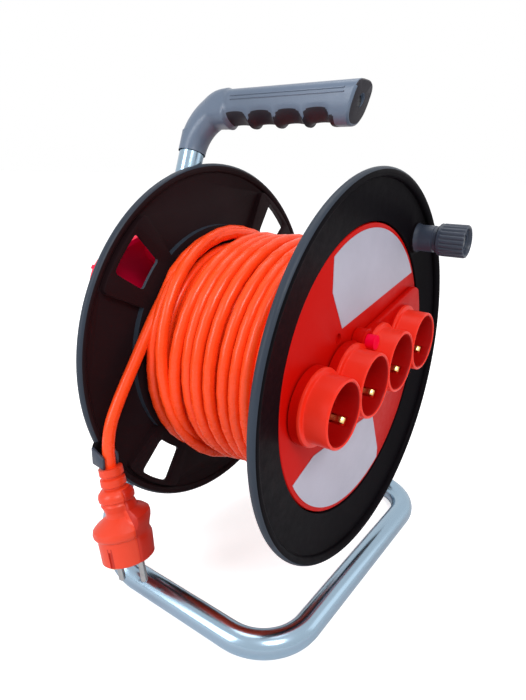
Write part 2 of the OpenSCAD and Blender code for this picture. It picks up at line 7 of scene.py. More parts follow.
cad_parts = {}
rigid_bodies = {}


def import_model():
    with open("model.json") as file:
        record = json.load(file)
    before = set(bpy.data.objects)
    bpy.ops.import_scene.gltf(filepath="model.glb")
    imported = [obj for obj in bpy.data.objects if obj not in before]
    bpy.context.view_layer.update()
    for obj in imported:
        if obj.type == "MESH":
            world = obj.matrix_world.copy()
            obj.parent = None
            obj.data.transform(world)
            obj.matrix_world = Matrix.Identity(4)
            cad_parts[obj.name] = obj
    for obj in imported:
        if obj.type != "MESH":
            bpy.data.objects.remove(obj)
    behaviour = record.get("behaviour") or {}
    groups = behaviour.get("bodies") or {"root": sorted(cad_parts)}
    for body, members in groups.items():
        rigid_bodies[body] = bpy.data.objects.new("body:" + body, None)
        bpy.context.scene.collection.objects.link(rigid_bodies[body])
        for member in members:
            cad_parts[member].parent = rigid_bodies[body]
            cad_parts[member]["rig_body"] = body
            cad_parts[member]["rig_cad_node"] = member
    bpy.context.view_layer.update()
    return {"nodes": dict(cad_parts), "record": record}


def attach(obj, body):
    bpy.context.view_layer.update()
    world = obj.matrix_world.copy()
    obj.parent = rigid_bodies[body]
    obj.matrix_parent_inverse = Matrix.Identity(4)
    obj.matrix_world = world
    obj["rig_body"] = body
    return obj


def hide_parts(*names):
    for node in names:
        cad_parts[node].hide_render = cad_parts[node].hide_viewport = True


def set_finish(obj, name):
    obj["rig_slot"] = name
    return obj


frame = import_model()
cadNodes = frame["nodes"]
scene = bpy.context.scene
print("frame loaded:", len(cadNodes), "nodes")

millimetre = 0.001
weldReach = 0.00001                             # corners closer than this are one
drumShift = Vector((0, -76, 170))              # from drum measures to the standing reel, in mm


def spot(x, y, z):
    return (Vector((x, y, z)) + drumShift) * millimetre


# camera

cameraSet = {
    "place": (-338.25, -147.83, 133.95),
    "yaw": 0.9496044,
    "pitch": -0.3186374,
    "roll": 0.0246703,
    "lens": 27.66,
    "shift": 0.0033,
}


def addCamera():
    yaw, pitch, roll = cameraSet["yaw"], cameraSet["pitch"], cameraSet["roll"]
    ahead = Vector((math.sin(yaw) * math.cos(pitch), math.cos(yaw) * math.cos(pitch), math.sin(pitch)))
    right = ahead.cross(Vector((0, 0, 1))).normalized()
    above = right.cross(ahead)
    tiltRight = right * math.cos(roll) + above * math.sin(roll)
    tiltAbove = above * math.cos(roll) - right * math.sin(roll)
    turned = Matrix((tiltRight, tiltAbove, -ahead)).transposed()
    bpy.ops.object.camera_add(location=spot(*cameraSet["place"]), rotation=turned.to_euler())
    camera = bpy.context.object
    camera.name = "photoCamera"
    camera.data.sensor_width = 36
    camera.data.lens = cameraSet["lens"]
    camera.data.shift_x = cameraSet["shift"]
    camera.data.clip_start = 0.01
    camera.data.dof.use_dof = False
    scene.camera = camera


addCamera()


# small helpers

def deselectAll():
    if bpy.context.mode != "OBJECT":
        bpy.ops.object.mode_set(mode="OBJECT")
    bpy.ops.object.select_all(action="DESELECT")


def pickOnly(piece):
    deselectAll()
    piece.select_set(True)
    bpy.context.view_layer.objects.active = piece


def settle(piece):
    # the piece's place goes into its mesh
    pickOnly(piece)
    bpy.ops.object.transform_apply(location=True, rotation=True, scale=True)
    scene.cursor.location = (0, 0, 0)
    bpy.ops.object.origin_set(type="ORIGIN_CURSOR")


def applyModifiers(piece):
    pickOnly(piece)
    for modifier in list(piece.modifiers):
        bpy.ops.object.modifier_apply(modifier=modifier.name)


def smooth(piece, angle):
    pickOnly(piece)
    bpy.ops.object.shade_smooth_by_angle(angle=math.radians(angle))


def softenEdges(piece, width, segments, angle):
    modifier = piece.modifiers.new("softEdges", "BEVEL")
    modifier.width = width * millimetre
    modifier.segments = segments
    modifier.limit_method = "ANGLE"
    modifier.angle_limit = math.radians(angle)
    modifier.miter_outer = "MITER_ARC"
    applyModifiers(piece)


def meshPiece(name, points, faces):
    mesh = bpy.data.meshes.new(name)
    mesh.from_pydata([spot(*p) for p in points], [], faces)
    mesh.validate()
    piece = bpy.data.objects.new(name, mesh)
    scene.collection.objects.link(piece)
    pickOnly(piece)
    bpy.ops.object.mode_set(mode="EDIT")
    bpy.ops.mesh.select_all(action="SELECT")
    bpy.ops.mesh.remove_doubles(threshold=weldReach)
    bpy.ops.mesh.normals_make_consistent(inside=False)
    bpy.ops.object.mode_set(mode="OBJECT")
    return piece


def ringFaces(rings, sides):
    # the skin between rings of points that have the same number of sides
    faces = []
    for start in range(0, (rings - 1) * sides, sides):
        for k in range(sides):
            k2 = (k + 1) % sides
            faces.append((start + k, start + k2, start + sides + k2, start + sides + k))
    return faces


def cadCopy(node, name):
    # a CAD node's own shape, merged and freed of flat triangles, ready for soft edges
    piece = cadNodes[node].copy()
    piece.data = cadNodes[node].data.copy()
    piece.name = name
    piece.parent = None
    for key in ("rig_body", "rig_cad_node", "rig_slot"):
        if key in piece:
            del piece[key]
    scene.collection.objects.link(piece)
    pickOnly(piece)
    bpy.ops.object.mode_set(mode="EDIT")
    bpy.ops.mesh.select_all(action="SELECT")
    bpy.ops.mesh.remove_doubles(threshold=weldReach)
    bpy.ops.mesh.dissolve_limited(angle_limit=math.radians(0.6))
    bpy.ops.object.mode_set(mode="OBJECT")
    return piece


def joinPieces(name, pieces):
    deselectAll()
    for piece in pieces:
        piece.select_set(True)
    bpy.context.view_layer.objects.active = pieces[0]
    if len(pieces) > 1:
        bpy.ops.object.join()
    joined = bpy.context.object
    joined.name = name
    return joined


def roundBar(name, points, radius, sides):
    curve = bpy.data.curves.new(name, "CURVE")
    curve.dimensions = "3D"
    curve.bevel_depth = radius * millimetre
    curve.bevel_resolution = sides
    curve.use_fill_caps = True
    line = curve.splines.new("POLY")
    line.points.add(len(points) - 1)
    for i, p in enumerate(points):
        line.points[i].co = (*spot(*p), 1)
    bar = bpy.data.objects.new(name, curve)
    scene.collection.objects.link(bar)
    return bar


def asMesh(piece):
    pickOnly(piece)
    bpy.ops.object.convert(target="MESH")
    return bpy.context.object


def softBox(name, centre, size, width, turn=0.0):
    deselectAll()
    bpy.ops.mesh.primitive_cube_add(size=1, location=spot(*centre), rotation=(0, turn, 0))
    piece = bpy.context.object
    piece.name = name
    piece.scale = Vector(size) * millimetre
    bpy.ops.object.transform_apply(location=False, rotation=False, scale=True)
    softenEdges(piece, width, 2, 30)
    settle(piece)
    return piece


def rodPiece(name, at, y0, y1, radius, sides):
    deselectAll()
    bpy.ops.mesh.primitive_cylinder_add(
        vertices=sides, radius=radius * millimetre, depth=(y1 - y0) * millimetre,
        location=spot(at[0], (y0 + y1) / 2, at[1]), rotation=(math.pi / 2, 0, 0))
    piece = bpy.context.object
    piece.name = name
    settle(piece)
    return piece


def spunPiece(name, profile, at, sides, closed=False):
    # a section of [radius, depth] spun about the drum's direction
    mesh = bpy.data.meshes.new(name)
    points = [spot(at[0] + r, y, at[1]) for r, y in profile]
    edges = [(i, i + 1) for i in range(len(points) - 1)]
    if closed:
        edges.append((len(points) - 1, 0))
    mesh.from_pydata(points, edges, [])
    piece = bpy.data.objects.new(name, mesh)
    scene.collection.objects.link(piece)
    pickOnly(piece)
    bpy.ops.object.mode_set(mode="EDIT")
    bpy.ops.mesh.select_all(action="SELECT")
    bpy.ops.mesh.spin(steps=sides, angle=math.tau, center=spot(at[0], 0, at[1]), axis=(0, 1, 0))
    bpy.ops.mesh.select_all(action="SELECT")
    bpy.ops.mesh.remove_doubles(threshold=weldReach)
    bpy.ops.mesh.normals_make_consistent(inside=False)
    bpy.ops.object.mode_set(mode="OBJECT")
    return piece


def cutAway(piece, cutters):
    for cutter in cutters:
        modifier = piece.modifiers.new("cut", "BOOLEAN")
        modifier.operation = "DIFFERENCE"
        modifier.solver = "EXACT"
        modifier.object = cutter
    applyModifiers(piece)
    for cutter in cutters:
        bpy.data.objects.remove(cutter)


# materials

def newFinish(name):
    finish = bpy.data.materials.new(name)
    finish.use_nodes = True
    nodes, links = finish.node_tree.nodes, finish.node_tree.links
    nodes.clear()
    out = nodes.new("ShaderNodeOutputMaterial")
    shader = nodes.new("ShaderNodeBsdfPrincipled")
    links.new(shader.outputs[0], out.inputs[0])
    return finish, nodes, links, shader


def addNoise(nodes, links, vector, scale, detail):
    cloud = nodes.new("ShaderNodeTexNoise")
    cloud.inputs["Scale"].default_value = scale
    cloud.inputs["Detail"].default_value = detail
    links.new(vector, cloud.inputs["Vector"])
    return cloud


def addTones(nodes, links, factor, tones, span):
    # a colour that goes from the dark to the light tone as the noise rises
    ramp = nodes.new("ShaderNodeValToRGB")
    for element, tone, position in zip(ramp.color_ramp.elements, tones, span):
        element.position = position
        element.color = (*tone, 1)
    links.new(factor, ramp.inputs["Fac"])
    return ramp.outputs["Color"]


def addBump(nodes, links, height, strength, distance):
    bump = nodes.new("ShaderNodeBump")
    bump.inputs["Strength"].default_value = strength
    bump.inputs["Distance"].default_value = distance
    links.new(height, bump.inputs["Height"])
    return bump.outputs["Normal"]


def addRange(nodes, links, value, span, result):
    mapped = nodes.new("ShaderNodeMapRange")
    mapped.inputs["From Min"].default_value, mapped.inputs["From Max"].default_value = span
    mapped.inputs["To Min"].default_value, mapped.inputs["To Max"].default_value = result
    links.new(value, mapped.inputs["Value"])
    return mapped.outputs["Result"]


def moulded(name, look):
    # plastic or rubber: a slow change of colour, a fine grain and a few rubbed places
    finish, nodes, links, shader = newFinish(name)
    place = nodes.new("ShaderNodeTexCoord").outputs["Object"]
    slow = addNoise(nodes, links, place, look.get("cloud", 14), 4)
    darkTone = [c * look.get("dark", 0.86) for c in look["colour"]]
    lightTone = [min(1, c * look.get("light", 1.1)) for c in look["colour"]]
    colour = addTones(nodes, links, slow.outputs["Fac"], (darkTone, lightTone), (0.3, 0.7))
    wear = addNoise(nodes, links, place, 160, 6)
    wear.inputs["Roughness"].default_value = 0.7
    rubbed = addRange(nodes, links, wear.outputs["Fac"], (0.3, 0.7),
                      (look["rough"] - 0.06, look["rough"] + 0.08))
    grain = addNoise(nodes, links, place, look.get("grain", 900), 3)
    normal = addBump(nodes, links, grain.outputs["Fac"], look.get("bump", 0.12), 0.0004)
    links.new(colour, shader.inputs["Base Color"])
    links.new(rubbed, shader.inputs["Roughness"])
    links.new(normal, shader.inputs["Normal"])
    shader.inputs["Specular IOR Level"].default_value = look.get("specular", 0.5)
    shader.inputs["IOR"].default_value = look.get("ior", 1.45)
    return finish


def metal(name, look):
    # plated steel or brass, with fine drawn streaks and slight tarnish
    finish, nodes, links, shader = newFinish(name)
    place = nodes.new("ShaderNodeTexCoord")
    stretch = nodes.new("ShaderNodeMapping")
    stretch.inputs["Scale"].default_value = look.get("stretch", (1, 1, 1))
    links.new(place.outputs[look.get("reads", "Object")], stretch.inputs["Vector"])
    streak = addNoise(nodes, links, stretch.outputs["Vector"], look.get("streak", 400), 5).outputs["Fac"]
    darkTone = [c * look.get("dark", 0.85) for c in look["colour"]]
    colour = addTones(nodes, links, streak, (darkTone, look["colour"]), (0.35, 0.65))
    rubbed = addRange(nodes, links, streak, (0, 1), (look["rough"] - 0.05, look["rough"] + 0.08))
    normal = addBump(nodes, links, streak, look.get("bump", 0.08), 0.0003)
    links.new(colour, shader.inputs["Base Color"])
    links.new(rubbed, shader.inputs["Roughness"])
    links.new(normal, shader.inputs["Normal"])
    shader.inputs["Metallic"].default_value = 1
    return finish


evenTone = {"dark": 0.94, "light": 1.04}         # for plastics whose colour hardly changes
finishes = {
    "tube": metal("tubeZinc", {"colour": (0.33, 0.45, 0.56), "rough": 0.19, "reads": "UV",
                               "stretch": (2, 4, 1), "streak": 2, "dark": 0.95, "bump": 0.006}),
    "zinc_steel": metal("zincSteel", {"colour": (0.62, 0.63, 0.64), "rough": 0.32}),
    "brass": metal("stampedBrass", {"colour": (0.80, 0.55, 0.22), "rough": 0.28}),
    "nickel_brass": metal("nickelPins", {"colour": (0.38, 0.39, 0.40), "rough": 0.22}),
    "black_plastic": moulded("blackPlastic", {"colour": (0.02, 0.02, 0.024), "rough": 0.5}),
    "grip_plastic": moulded("gripPlastic", {"colour": (0.105, 0.14, 0.20), "rough": 0.32, "bump": 0.2}),
    # painted shade for the grip's underside and front face
    "gripPaintedShade": moulded("gripUnderside", {"colour": (0.022, 0.02, 0.027), "rough": 0.45, "ior": 1.3}),
    "crimson_plastic": moulded("crimsonPlastic", {"colour": (0.98, 0.0, 0.045), "rough": 0.35, "ior": 1.2}),
    "flange_plastic": moulded("flangePlastic", {"colour": (0.0045, 0.0038, 0.0052), "rough": 0.42,
                                                "bump": 0.08, "ior": 1.08}),
    # painted reflection: the flanges' black given a red cast, as of the cable's colour bounced onto it
    "rearFlange": moulded("rearFlangePlastic", {"colour": (0.016, 0.0075, 0.009), "rough": 0.42,
                                                "bump": 0.08, "ior": 1.12}),
    # painted highlight: a paler blue-grey copy of the flange's black for its rim and hub edge
    "flangeRimPaintedSheen": moulded("flangeRimPlastic", {"colour": (0.028, 0.037, 0.053), "rough": 0.4, "ior": 1.25}),
    "panel_plastic": moulded("panelPlastic", {"colour": (0.53, 0.003, 0.001), "rough": 0.36,
                                              "bump": 0.03, "ior": 1.15, **evenTone}),
    # painted shade: the same rubber made darker for the plug's shaded rear half and slot walls
    "plugPaintedShade": moulded("plugRearRubber", {"colour": (0.46, 0.016, 0.005), "rough": 0.42,
                                           "specular": 0.35, **evenTone}),
    # painted light: a brighter copy of the panel's red for the cups' walls and feet
    "cupPaintedLight": moulded("cupPlastic", {"colour": (0.82, 0.024, 0.008), "rough": 0.34, "bump": 0.03,
                                         "ior": 1.3, "dark": 0.95, "light": 1.04}),
    # painted shade: a darker copy of the panel's red for the cups' insides
    "cupPaintedShade": moulded("cupInsidePlastic", {"colour": (0.36, 0.001, 0.0006), "rough": 0.4,
                                              "bump": 0.03, "ior": 1.25, **evenTone}),
    "white_plastic": moulded("whitePlastic", {"colour": (0.75, 0.75, 0.72), "rough": 0.45}),
    "label_film": moulded("blankLabelFilm", {"colour": (0.42, 0.41, 0.50), "rough": 0.42, "cloud": 30,
                                             "bump": 0.03, **evenTone}),
    "knob_plastic": moulded("knobPlastic", {"colour": (0.034, 0.044, 0.068), "rough": 0.36, "specular": 0.4}),
    "cable_sheath": moulded("cableSheath", {"colour": (0.97, 0.066, 0.009), "rough": 0.27, "ior": 1.36,
                                            "dark": 0.9, "light": 1.04, "grain": 500, "bump": 0.06}),
    "plug_rubber": moulded("plugRubber", {"colour": (0.69, 0.046, 0.014), "rough": 0.36, "ior": 1.4,
                                          **evenTone}),
}


def tint(piece, extraFinishes, chooseIndex):
    # more finishes on one piece: chooseIndex says which one a face has, from its place in drum measures
    for name in extraFinishes:
        piece.data.materials.append(finishes[name])
    for face in piece.data.polygons:
        face.material_index = chooseIndex(face, face.center / millimetre - drumShift)


def dress(piece, slotName):
    piece.data.materials.clear()
    piece.data.materials.append(finishes[slotName])
    if piece.name not in cadNodes:
        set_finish(piece, slotName)


for part in frame["record"]["subparts"]:
    dress(cadNodes[part["node"]], part["material_slot"])
print("materials made:", len(finishes))


# cable: three layers on the core, then the free end down to the plug

cable = {
    "diameter": 8.7,
    "pointsPerTurn": 36,
    # each layer: [radius, start, end, turns, how far a turn strays along the core, and in radius]
    "layers": [(66.5, 28.5, 131, 12, 0, 0), (76.4, 131, 28.0, 12, 0.5, 0.3), (86.4, 27.6, 99, 7.5, 1.7, 1.0)],
    # the last loose turns, which cross to the rear flange and back: [radius, start, end, turns]
    "crossing": [(87.2, 99, 122, 0.8), (88.2, 122, 131, 1.0), (90.6, 131, 106, 0.75)],
    "lastTurn": (89.4, 106, 128),                # it ends where the free end leaves
    "shortestEnd": 0.45,
    "sag": 1.7,
    "fading": 9,                                 # strays fade out over a ninth of a run at both its ends
    "looseRipple": (0.4, 0.9),                   # how far out, and waves a turn
    "alongWaves": [(1, 0.13, 1), (0.7, 1.07, 2.1)],              # [share, waves a turn, shift per layer]
    "outWave": (0.71, 1.3),                      # waves a turn, and shift
    "climbShare": 0.3,                           # part of a turn that a change of layer takes
    "inletTurn": -97,
    "leavesAt": (-60, 62),
    "tail": [(-72, 129, 48), (-82, 130, 34), (-93, 130, 18), (-103, 130, 3), (-112, 130, -10),
             (-119, 130, -21), (-125, 130, -32), (-128, 130, -43), (-129, 130, -54), (-129, 129, -67)],
}


def ease(part):
    # a slow start and a slow end
    return 3 * part ** 2 - 2 * part ** 3


def windingRuns():
    # all the runs as [radius, start, end, turns, stray along, stray out, loose or not]
    runs = [(*layer, False) for layer in cable["layers"]]
    runs += [(*run, 0, 0, True) for run in cable["crossing"]]
    leaveTurn = math.degrees(math.atan2(cable["leavesAt"][1], cable["leavesAt"][0]))
    atTail = ((leaveTurn - cable["inletTurn"]) % 360) / 360
    spare = (atTail - sum(run[3] for run in runs)) % 1
    turns = spare + (1 if spare < cable["shortestEnd"] else 0)
    return runs + [(*cable["lastTurn"], turns, 0, 0, True)]


def layWinding():
    perTurn = cable["pointsPerTurn"]
    ripple, rippleWaves = cable["looseRipple"]
    outWaves, outShift = cable["outWave"]
    runs = windingRuns()
    line = []
    done = 0.0
    for number, (radius, y0, y1, turns, strayAlong, strayOut, loose) in enumerate(runs):
        steps = round(turns * perTurn)
        rBefore = math.hypot(line[-1][0], line[-1][2]) if line else radius
        for k in range(steps + (1 if number == len(runs) - 1 else 0)):
            part = k / steps
            angle = math.radians(cable["inletTurn"]) + math.tau * (done + turns * part)
            climb = min(1.0, k / (cable["climbShare"] * perTurn)) if number else 1.0
            r = rBefore + (radius - rBefore) * ease(climb)
            ends = min(1.0, part * cable["fading"], (1 - part) * cable["fading"])
            if loose:
                y = y0 + (y1 - y0) * ease(part)
                r += ripple * ends * math.sin(angle * rippleWaves)
                r += ends * cable["sag"] * max(0.0, -math.sin(angle))
            else:
                y = y0 + (y1 - y0) * part
                wander = sum(share * math.sin(angle * waves + shift * number)
                             for share, waves, shift in cable["alongWaves"])
                y += ends * strayAlong * wander
                r += ends * strayOut * math.sin(angle * outWaves + outShift)
            line.append((r * math.cos(angle), y, r * math.sin(angle)))
        done += turns
    return line


def smoothRoute(points):
    # each corner is cut off at its quarters, twice
    for _ in range(2):
        finer = [points[0]]
        for a, b in zip(points, points[1:]):
            finer.append(tuple(a[i] * 0.75 + b[i] * 0.25 for i in range(3)))
            finer.append(tuple(a[i] * 0.25 + b[i] * 0.75 for i in range(3)))
        finer.append(points[-1])
        points = finer
    return points


wound = layWinding()
route = wound + smoothRoute([wound[-1]] + cable["tail"])[1:]
cableCord = roundBar("cableCord", route, cable["diameter"] / 2, 5)
dress(cableCord, "cable_sheath")
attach(cableCord, "drum")
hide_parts("cable_winding", "cable_tail")


# plug

plug = {
    "top": (-129, 129, -64.3),
    "lean": 15, "sway": 2.5, "yaw": 106,
    # sections as [radius, distance from the cord's end]; both halves share the ribbed sleeve
    "sleeve": [(8.4, 0), (8.5, 5), (7.0, 5.8), (7.0, 6.8), (8.8, 7.8), (8.9, 12.6), (7.3, 13.5), (7.3, 14.6),
               (9.8, 15.6)],
    "front": [(11.9, 18.0), (12.5, 20.4), (12.2, 22.8), (10.8, 23.8), (10.9, 24.8), (11.6, 25.8), (10.0, 30),
              (9.4, 32.5), (10.0, 34.6), (13.0, 36.8), (17.4, 39.6), (20.2, 42.2), (20.9, 44.6), (20.7, 46.4),
              (19.8, 47.8), (18.3, 48.6), (18.3, 50), (18.5, 52), (18.3, 66), (17.4, 67)],
    "rear": [(12.2, 18.0), (12.9, 20.4), (12.7, 22.8), (11.4, 23.8), (11.5, 24.8), (12.2, 25.8), (13.6, 29.2),
             (18.4, 31.4), (20.8, 33.8), (21.2, 36.8), (20.8, 39.6), (20.0, 42.2), (19.2, 44.6), (18.8, 46.4),
             (18.6, 47.8), (18.7, 48.6), (19.2, 50), (19.8, 53), (18.8, 66), (17.6, 67)],
    "length": 67,
    "halvesFrom": 16,
    "partingTurn": 117,                          # the middle of the rear half, about the plug's own axis
    "blend": 0.12,                               # how soon one half becomes the other, as a cosine
    "groove": (0.6, 0.035),                      # depth, and width as a cosine
    "slot": (2.6, 3.2, 15), "slotAt": (19.35, 62),
    "sides": 120,
}


def plugPlace():
    turned = (Matrix.Rotation(math.radians(plug["sway"]), 4, "Y")
              @ Matrix.Rotation(math.radians(-plug["lean"]), 4, "X")
              @ Matrix.Rotation(math.radians(plug["yaw"]), 4, "Z") @ Matrix.Rotation(math.pi, 4, "X"))
    return Matrix.Translation(Vector(plug["top"])) @ turned


def plugRings(place):
    # the radius goes over from one half to the other at a fine parting groove
    depth, width = plug["groove"]
    points = []
    for (front, h), (rear, _) in zip(plug["sleeve"] + plug["front"], plug["sleeve"] + plug["rear"]):
        for k in range(plug["sides"]):
            turn = math.tau * k / plug["sides"]
            away = math.cos(turn - math.radians(plug["partingTurn"]))
            share = ease(min(1.0, max(0.0, (away + plug["blend"]) / (2 * plug["blend"]))))
            groove = depth * math.exp(-((away / width) ** 2)) if h > plug["halvesFrom"] else 0
            r = front + (rear - front) * share - groove
            points.append(place @ Vector((r * math.cos(turn), r * math.sin(turn), h)))
    return points


def plugSlotCutter(side):
    deselectAll()
    bpy.ops.mesh.primitive_cube_add(size=1)
    cutter = bpy.context.object
    out, along = plug["slotAt"]
    cutter.data.transform(Matrix.Diagonal((*plug["slot"], 1)))
    cutter.data.transform(Matrix.Translation((0, side * out, along)))
    cutter.data.transform(Matrix.Translation(drumShift) @ plugPlace())
    cutter.data.transform(Matrix.Scale(millimetre, 4))
    return cutter


def makePlug():
    place = plugPlace()
    sides = plug["sides"]
    points = plugRings(place)
    rings = len(points) // sides
    faces = ringFaces(rings, sides)
    points += [place @ Vector((0, 0, 0)), place @ Vector((0, 0, plug["length"]))]
    for k in range(sides):
        k2 = (k + 1) % sides
        faces.append((rings * sides, k2, k))
        faces.append((rings * sides + 1, (rings - 1) * sides + k, (rings - 1) * sides + k2))
    body = meshPiece("plugMoulding", points, faces)
    cutAway(body, [plugSlotCutter(side) for side in (-1, 1)])
    smooth(body, 30)
    return body


intoPlug = plugPlace().inverted()


def plugPaintedShadeFaces(face, middle):
    # the rear half and the slots' walls get a darker copy of the rubber, as painted shade
    place = intoPlug @ middle
    wide, deep, tall = plug["slot"]
    out, along = plug["slotAt"]
    turn = math.atan2(place.y, place.x) - math.radians(plug["partingTurn"])
    atSlot = abs(place.x) < wide / 2 + 0.1 and abs(place.y) > out - deep / 2 - 0.25
    inSlot = atSlot and place.z > along - tall / 2 - 0.1 and abs(face.normal.z) < 0.99
    return 1 if place.z > plug["halvesFrom"] and (inSlot or math.cos(turn) > 0) else 0


plugMoulding = makePlug()
dress(plugMoulding, "plug_rubber")
tint(plugMoulding, ["plugPaintedShade"], plugPaintedShadeFaces)
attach(plugMoulding, "drum")
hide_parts("plug_body")
print("plug made")


# frame tube

frameTube = {
    "corners": [(0, 26, 179), (0, 156.5, 179), (-118, 156.5, -160.5), (-118, -8, -160.5), (118, -8, -160.5),
                (118, 149.5, -160.5)],
    "bends": [34, 38, 38, 38],
    "radius": 9.5,
}


def bentPath(corners, bends):
    path = [Vector(corners[0])]
    for a, b, c, bend in zip(corners, corners[1:], corners[2:], bends):
        a, b, c = Vector(a), Vector(b), Vector(c)
        arriving, leaving = (b - a).normalized(), (c - b).normalized()
        turn = arriving.angle(leaving)
        trim = bend * math.tan(turn / 2)
        start = b - arriving * trim
        inward = (leaving - arriving * arriving.dot(leaving)).normalized()
        middle = start + inward * bend
        steps = max(6, round(math.degrees(turn) / 4))
        for k in range(steps + 1):
            part = turn * k / steps
            path.append(middle - inward * bend * math.cos(part) + arriving * bend * math.sin(part))
    path.append(Vector(corners[-1]))
    return path


tubePath = bentPath(frameTube["corners"], frameTube["bends"])
tube = asMesh(roundBar("frameTube", tubePath, frameTube["radius"], 10))
smooth(tube, 40)
dress(tube, "tube")
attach(tube, "frame")
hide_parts("frame_post", "frame_foot", "frame_base")
print("frame tube made")


# grip

grip = {
    "front": 17, "bendStart": 122.5, "bend": 34, "height": 179, "collarEnd": 19,
    "halfWidth": 12.2, "top": 12.0, "bottom": 15.4, "collar": 10.5,
    "outerCorner": 35,
    "square": 3.4, "underSquare": 2.5,           # how square the upper and lower halves are; 2 is round
    "narrowing": 1.5, "squareFade": 1.6, "underFade": 1.5,       # how soon the elbow turns into the collar
    "scallops": 4, "firstScallop": 47, "pitch": 22.7, "scallopDepth": 7.4,
    "scallopHalf": 0.47, "scallopMiddle": 0.4,   # parts of the pitch, and of the depth at the grip's middle
    "slant": 9.0, "slantFade": 26,               # the lower edge of the front end lies this far back
    "frontRound": 2.6, "screwHole": (4.0, 7.0),  # the hole's radius and depth
    "screw": 3.6, "screwDepth": (22.6, 24.4), "screwSlot": (5.6, 0.4, 0.9), "screwSlotAt": 22.5,
    "tubeHole": 9.7, "sides": 96, "rings": 96, "elbowRings": 24,
    "ridges": [4.2, 6.6], "ridgeSpan": (27, 118),
    "fingerSpan": (35, 122), "fingerTurn": -0.4, "frontTurn": -0.75,
}


def gripLine():
    # stations along the tube: [middle, forward, up, place along the grip, how far round the elbow]
    stations = []
    forward, above = Vector((0, 1, 0)), Vector((0, 0, 1))
    last = grip["rings"] - 1
    for k in range(grip["rings"]):
        y = grip["front"] + (grip["bendStart"] - grip["front"]) * k / last
        stations.append((Vector((0, y, grip["height"])), forward, above, y, 0.0))
    corner, foot = (Vector(place) for place in frameTube["corners"][1:3])
    down = (foot - corner).normalized()
    turn = forward.angle(down)
    middle = Vector((0, grip["bendStart"], grip["height"])) + down * grip["bend"]
    for k in range(1, grip["elbowRings"] + 1):
        part = turn * k / grip["elbowRings"]
        outward = forward * math.sin(part) - down * math.cos(part)
        ahead = forward * math.cos(part) + down * math.sin(part)
        at = middle + outward * grip["bend"]
        stations.append((at, ahead, outward, at.y, k / grip["elbowRings"]))
    end = corner + down * grip["collarEnd"]
    stations.append((end, down, forward, end.y, 1.0))
    return stations


def scallopAt(y):
    deepest = 0.0
    for k in range(grip["scallops"]):
        off = abs(y - grip["firstScallop"] - k * grip["pitch"]) / (grip["pitch"] * grip["scallopHalf"])
        if off < 1:
            deepest = max(deepest, math.sqrt(1 - off * off) ** 0.8)
    return deepest


def outerReach(bent):
    # how far the grip's outer corner lies from the middle of the bend
    far, corner = grip["bend"] + grip["top"], grip["outerCorner"]
    turn = math.radians(90 * bent)
    if far * math.tan(turn) <= far - corner:
        return far / math.cos(turn)
    if far / math.tan(turn) <= far - corner:
        return far / math.sin(turn)
    along = (far - corner) * (math.sin(turn) + math.cos(turn))
    return along + math.sqrt(along * along - 2 * (far - corner) ** 2 + corner * corner)


def gripRing(y, bent):
    # one section of the grip as [across, up]: a squarish upper half and a scalloped lower one
    easing = ease(min(1.0, bent * grip["narrowing"]))
    power = grip["square"] + (2 - grip["square"]) * min(1, easing * grip["squareFade"])
    fromFront = min(1.0, (y - grip["front"]) / grip["frontRound"])
    shrink = 1 - 0.1 * (1 - math.sqrt(1 - (1 - fromFront) ** 2))
    across = grip["halfWidth"] + (grip["collar"] - grip["halfWidth"]) * easing
    above = outerReach(bent) - grip["bend"] + (grip["collar"] - grip["top"]) * easing
    below = grip["bottom"] + (grip["collar"] - grip["bottom"]) * min(1, easing * grip["underFade"])
    scallop = grip["scallopDepth"] * scallopAt(y) * (1 - bent)
    ring = []
    for k in range(grip["sides"]):
        turn = math.tau * k / grip["sides"]
        c, s = math.cos(turn), math.sin(turn)
        corner = power if s > 0 else min(power, grip["underSquare"])
        x = math.copysign(abs(c) ** (2 / corner), c)
        z = math.copysign(abs(s) ** (2 / corner), s)
        cut = scallop * (grip["scallopMiddle"] + (1 - grip["scallopMiddle"]) * abs(x))
        rise = above if z > 0 else below - cut
        ring.append((x * across * shrink, z * rise * shrink))
    return ring


def slantAt(z):
    return grip["slant"] * (grip["top"] - z) / (grip["top"] + grip["bottom"])


def gripSkin():
    # the outside, the front face with its screw hole, and the collar's end round the tube
    sides = grip["sides"]
    stations = gripLine()
    points = []
    for middle, ahead, up, y, bent in stations:
        side = ahead.cross(up).normalized()
        lean = max(0.0, 1 - (y - grip["front"]) / grip["slantFade"]) if bent == 0 else 0.0
        points += [middle + side * x + up * z + ahead * lean * slantAt(z) for x, z in gripRing(y, bent)]
    faces = ringFaces(len(stations), sides)
    last, hole = len(points) - sides, len(points)
    turns = [math.tau * k / sides for k in range(sides)]
    wide, deep = grip["screwHole"]
    for radius, depth in ((wide, 0.0), (wide, deep), (0.0, deep)):
        for turn in turns:
            z = radius * math.sin(turn)
            y = grip["front"] + slantAt(z) + depth
            points.append(Vector((radius * math.cos(turn), y, grip["height"] + z)))
    collar = len(points)
    end, ahead, up = stations[-1][:3]
    side = ahead.cross(up).normalized()
    points += [end + (side * math.cos(turn) + up * math.sin(turn)) * grip["tubeHole"] for turn in turns]
    for k in range(sides):
        k2 = (k + 1) % sides
        faces.append((k2, k, hole + k, hole + k2))
        faces.append((hole + k2, hole + k, hole + sides + k, hole + sides + k2))
        faces.append((hole + sides + k2, hole + sides + k, hole + 2 * sides + k, hole + 2 * sides + k2))
        faces.append((last + k, last + k2, collar + k2, collar + k))
    return meshPiece("gripMoulding", points, faces)


